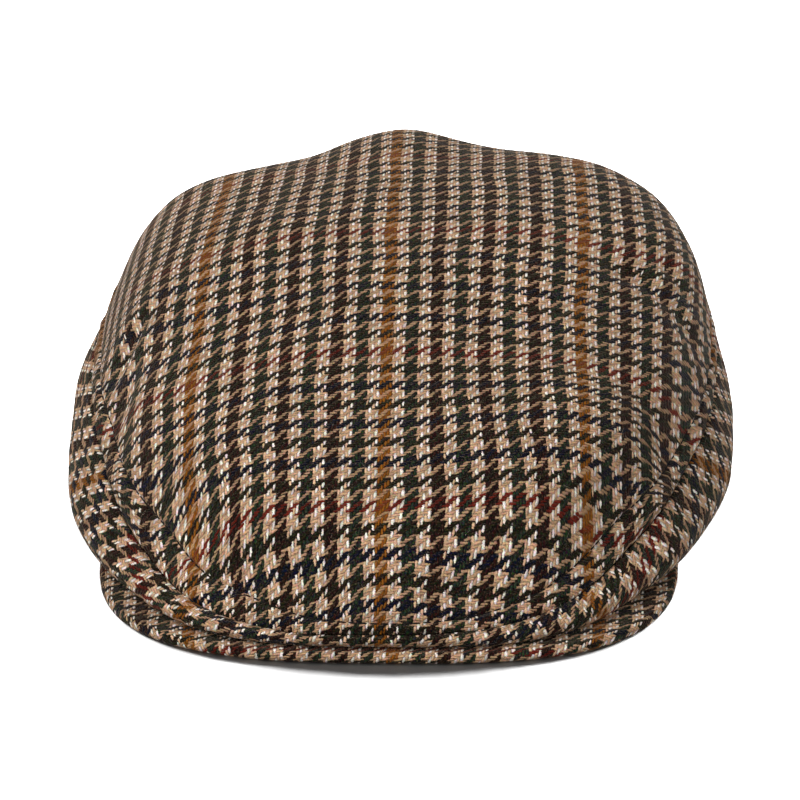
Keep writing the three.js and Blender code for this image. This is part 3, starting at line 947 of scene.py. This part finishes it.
def tweed(name, seed):
    """Houndstooth twill, two over and two under, in groups of four threads."""
    finish = Finish(name, CLOTH_MAP)
    u, v = stray(finish, seed)
    warp, weft = u.floor(), v.floor()
    run_warp, run_weft = v - warp - 1.0, u - weft + 2.0
    rolls_warp = finish.dice(warp, (run_warp * (1 / GROUP)).floor(), seed)
    rolls_weft = finish.dice((run_weft * (1 / GROUP)).floor(), weft, seed + 50)
    warp_colour, light_warp, accent = dyed(finish, warp, WARP, rolls_warp)
    weft_colour, light_weft, _ = dyed(finish, weft, WEFT, rolls_weft)
    high_warp = float_height(run_warp, u - warp - 0.5, WARP, rolls_warp)
    high_weft = float_height(run_weft, v - weft - 0.5, WEFT, rolls_weft)

    # Dark yarn hides a little of the light yarn that it crosses.
    only_warp = light_warp * light_weft.flipped()
    only_weft = light_weft * light_warp.flipped()
    on_top = (high_warp - high_weft - only_warp * (accent * -ACCENT + HIDDEN_WARP)
              + only_weft * HIDDEN_WEFT).ramp(-BLUR, BLUR)
    top = between(high_weft, high_warp, on_top)
    on_light = light_warp * light_weft
    is_light = between(light_weft, light_warp, on_top)
    weft_colour = finish.mix(on_light * (accent * ACCENT), weft_colour, warp_colour)
    colour = finish.mix(on_top, weft_colour, warp_colour)

    # Twisted fibres along each yarn, and painted shade: the colour is darker in the hollows
    # between the yarns, by their height, and lighter on their tops.
    fibre = between(*(fibres(finish, u, v, kind)[0] for kind in ("weft", "warp")), on_top)
    painted_hollow_shade = on_light * HOLLOW_ON_LIGHT + HOLLOW
    lone_weft = only_weft * on_top.flipped()
    open_to_light = top.ramp(*HOLLOW_HEIGHTS) * (lone_weft * -LONE_WEFT + 1.0)
    shade = (painted_hollow_shade + open_to_light * (painted_hollow_shade * -1.0 + PAINTED_TOP_LIGHT)) * fibre.ramp(*FIBRE_SHADE)
    patch, _ = finish.noise(finish.uv, 0.035, 2.0)
    colour = finish.shaded(colour, shade * patch.ramp(*PATCH_SHADE))

    # The yarns are spun from fibres of several shades.
    _, shades = fibres(finish, u, v, "heather")
    heather = finish.add("VectorMath", (shades, (HEATHER,) * 3, (1 - HEATHER / 2,) * 3),
                         operation="MULTIPLY_ADD")[0]
    heather = finish.mix(is_light * (HEATHER_ON_LIGHT - 1) + 1.0, (1.0, 1.0, 1.0), heather)
    colour = finish.mix(1.0, colour, heather, "MULTIPLY")
    # Loose fibres of every colour veil the yarns a little.
    veil, _ = fibres(finish, u, v, "veil")
    bump = finish.add("Bump", {"Strength": 1.0, "Distance": RELIEF["height"] * MM,
                               "Height": top + fibre * RELIEF["fibres"]})[0]
    finish.surface({
        "Base Color": finish.mix(veil.ramp(*VEIL), colour, FLECK), "Normal": bump,
        "Roughness": 0.92, "Specular IOR Level": 0.08, "Sheen Weight": 0.19,
        "Sheen Roughness": 0.16, "Sheen Tint": srgb(0.88, 0.8, 0.7)})
    return finish.material


def by_cell(name, cells, low, high, roughness):
    """Finish for tubes that each have a cell of the bake map: a shade for every tube."""
    finish = Finish(name, BAKE_MAP)
    along, around, _ = finish.add("SeparateXYZ", (finish.uv,))
    along, around = along * cells, around * cells
    cell = along.floor() + around.floor() * cells
    chance, _ = finish.add("TexWhiteNoise", {"W": cell}, noise_dimensions="1D")
    twist, _ = finish.noise(finish.vector(along * 9.0 + around * 3.0, around * 2.0), 1.0)
    colour = finish.shaded(finish.mix(chance, srgb(*low), srgb(*high)),
                           twist.ramp(0.3, 0.7, 0.75, 1.2))
    finish.surface({"Base Color": colour, "Roughness": roughness, "Specular IOR Level": 0.15})
    return finish.material


FLOOR = {"half": 15.0, "below": 0.0003, "grey": 0.6}
WORLD = 0.13
# Soft lights on the cap: place, size and power
LIGHTS = {
    "key": ((-0.9, -0.6, 1.6), 1.0, 18.5),
    "fill": ((1.6, -0.9, 0.75), 1.4, 17),
    "low": ((-1.3, -1.2, 0.65), 1.2, 17),
    "top": ((-0.1, 0.5, 1.9), 1.4, 2.5),
    "back": ((0.2, 1.8, 0.4), 1.4, 15),
}
# Lights on the floor alone, from behind: turn from straight behind, elevation and power. The
# cap's shadow falls just in front of it.
FLOOR_LIGHTS = ((-50, 22, 2000), (0, 43, 1100), (50, 22, 2000))
FLOOR_LIGHT_REACH = 6.4
FLOOR_LIGHT_SIZE = 1.9
TARGET = (0, 0, 0.05)  # what every light points at


def build_stage():
    half, low = FLOOR["half"], -FLOOR["below"]
    mesh = bpy.data.meshes.new("floor")
    mesh.from_pydata([(half * (2 * a - 1), half * (2 * b - 1), low) for a, b in CORNERS],
                     [], [(0, 1, 2, 3)])
    finish = Finish("floor")
    finish.surface({"Base Color": (FLOOR["grey"],) * 3, "Roughness": 1.0,
                    "Specular IOR Level": 0.0})
    mesh.materials.append(finish.material)
    floor = put("floor", mesh)
    floor.visible_diffuse = False  # it would light the cap from below as a glowing table does
    world = bpy.data.worlds.new("studio")
    world.use_nodes = True
    background = world.node_tree.nodes["Background"]
    background.inputs["Color"].default_value = (1, 1, 1, 1)
    background.inputs["Strength"].default_value = WORLD
    bpy.context.scene.world = world
    bpy.context.scene.view_settings.view_transform = "Standard"
    return floor


def build_lights(floor, pieces):
    """Lights that shine on the pieces alone, and others that shine on the floor alone."""
    receivers = {}
    for key, members in (("floor", [floor]), ("cap", pieces)):
        receivers[key] = bpy.data.collections.new("lit_" + key)
        for member in members:
            receivers[key].objects.link(member)

    def shine(name, place, size, power, receiver):
        data = bpy.data.lights.new(name, "AREA")
        data.size = size
        data.energy = power
        light = put(name, data)
        light.location = place
        direction = Vector(TARGET) - Vector(place)
        light.rotation_euler = direction.to_track_quat("-Z", "Y").to_euler()
        light.light_linking.receiver_collection = receivers[receiver]

    for name, spec in LIGHTS.items():
        shine(name, *spec, "cap")
    for turn, level, power in FLOOR_LIGHTS:
        a, e = math.radians(turn), math.radians(level)
        away = Vector((math.sin(a) * math.cos(e), math.cos(a) * math.cos(e), math.sin(e)))
        shine("floor_light", away * FLOOR_LIGHT_REACH, FLOOR_LIGHT_SIZE, power, "floor")


# The camera looks along its elevation and azimuth past a point, so far above and aside of it.
CAMERA = {"elevation": 20, "azimuth": 1.4, "distance": 1.475, "above": 0.0815,
          "aside": 0.0063, "lens": 215.7, "at": (-0.004, -0.138, 0)}


def build_camera():
    e, a = math.radians(CAMERA["elevation"]), math.radians(CAMERA["azimuth"])
    forward = Vector((-math.sin(a) * math.cos(e), math.cos(a) * math.cos(e), -math.sin(e)))
    right = Vector((math.cos(a), math.sin(a), 0))
    up = right.cross(forward)
    data = bpy.data.cameras.new("camera")
    data.lens = CAMERA["lens"]
    data.sensor_width = 36
    data.clip_end = 20
    camera = put("camera", data)
    camera.matrix_world = Matrix((right, up, -forward)).transposed().to_4x4()
    camera.location = (Vector(CAMERA["at"]) - forward * CAMERA["distance"]
                       + up * CAMERA["above"] + right * CAMERA["aside"])
    bpy.context.scene.camera = camera


def dress(piece, material):
    piece.data.materials.append(material)
    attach(piece, "root")


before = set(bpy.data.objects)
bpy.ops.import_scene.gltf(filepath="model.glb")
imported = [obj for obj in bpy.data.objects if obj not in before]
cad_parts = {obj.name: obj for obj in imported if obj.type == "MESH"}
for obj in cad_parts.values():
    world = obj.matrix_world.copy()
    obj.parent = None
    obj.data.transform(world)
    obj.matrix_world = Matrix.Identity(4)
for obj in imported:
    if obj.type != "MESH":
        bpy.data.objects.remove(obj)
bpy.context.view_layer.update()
build_camera()
ground = build_stage()
cloths = (build_panel(), build_band(), build_peak())
for seed, piece, node, slot in zip((1, 2, 3), cloths, ("top_panel", "side_band", "peak"),
                                   ("tweed_top", "tweed_band", "tweed_peak")):
    dress(piece, tweed(slot, seed))
    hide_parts(node)
stitches, fuzz = build_topstitch(), build_fuzz(cloths)
for piece, name, low, high, roughness in (
        (stitches, "thread", (0.05, 0.04, 0.035), (0.12, 0.09, 0.075), 0.7),
        (fuzz, "wool", (0.2, 0.16, 0.12), (0.86, 0.8, 0.72), 0.8)):
    dress(piece, by_cell(name, piece["cells"], low, high, roughness))
build_lights(ground, (*cloths, stitches, fuzz))
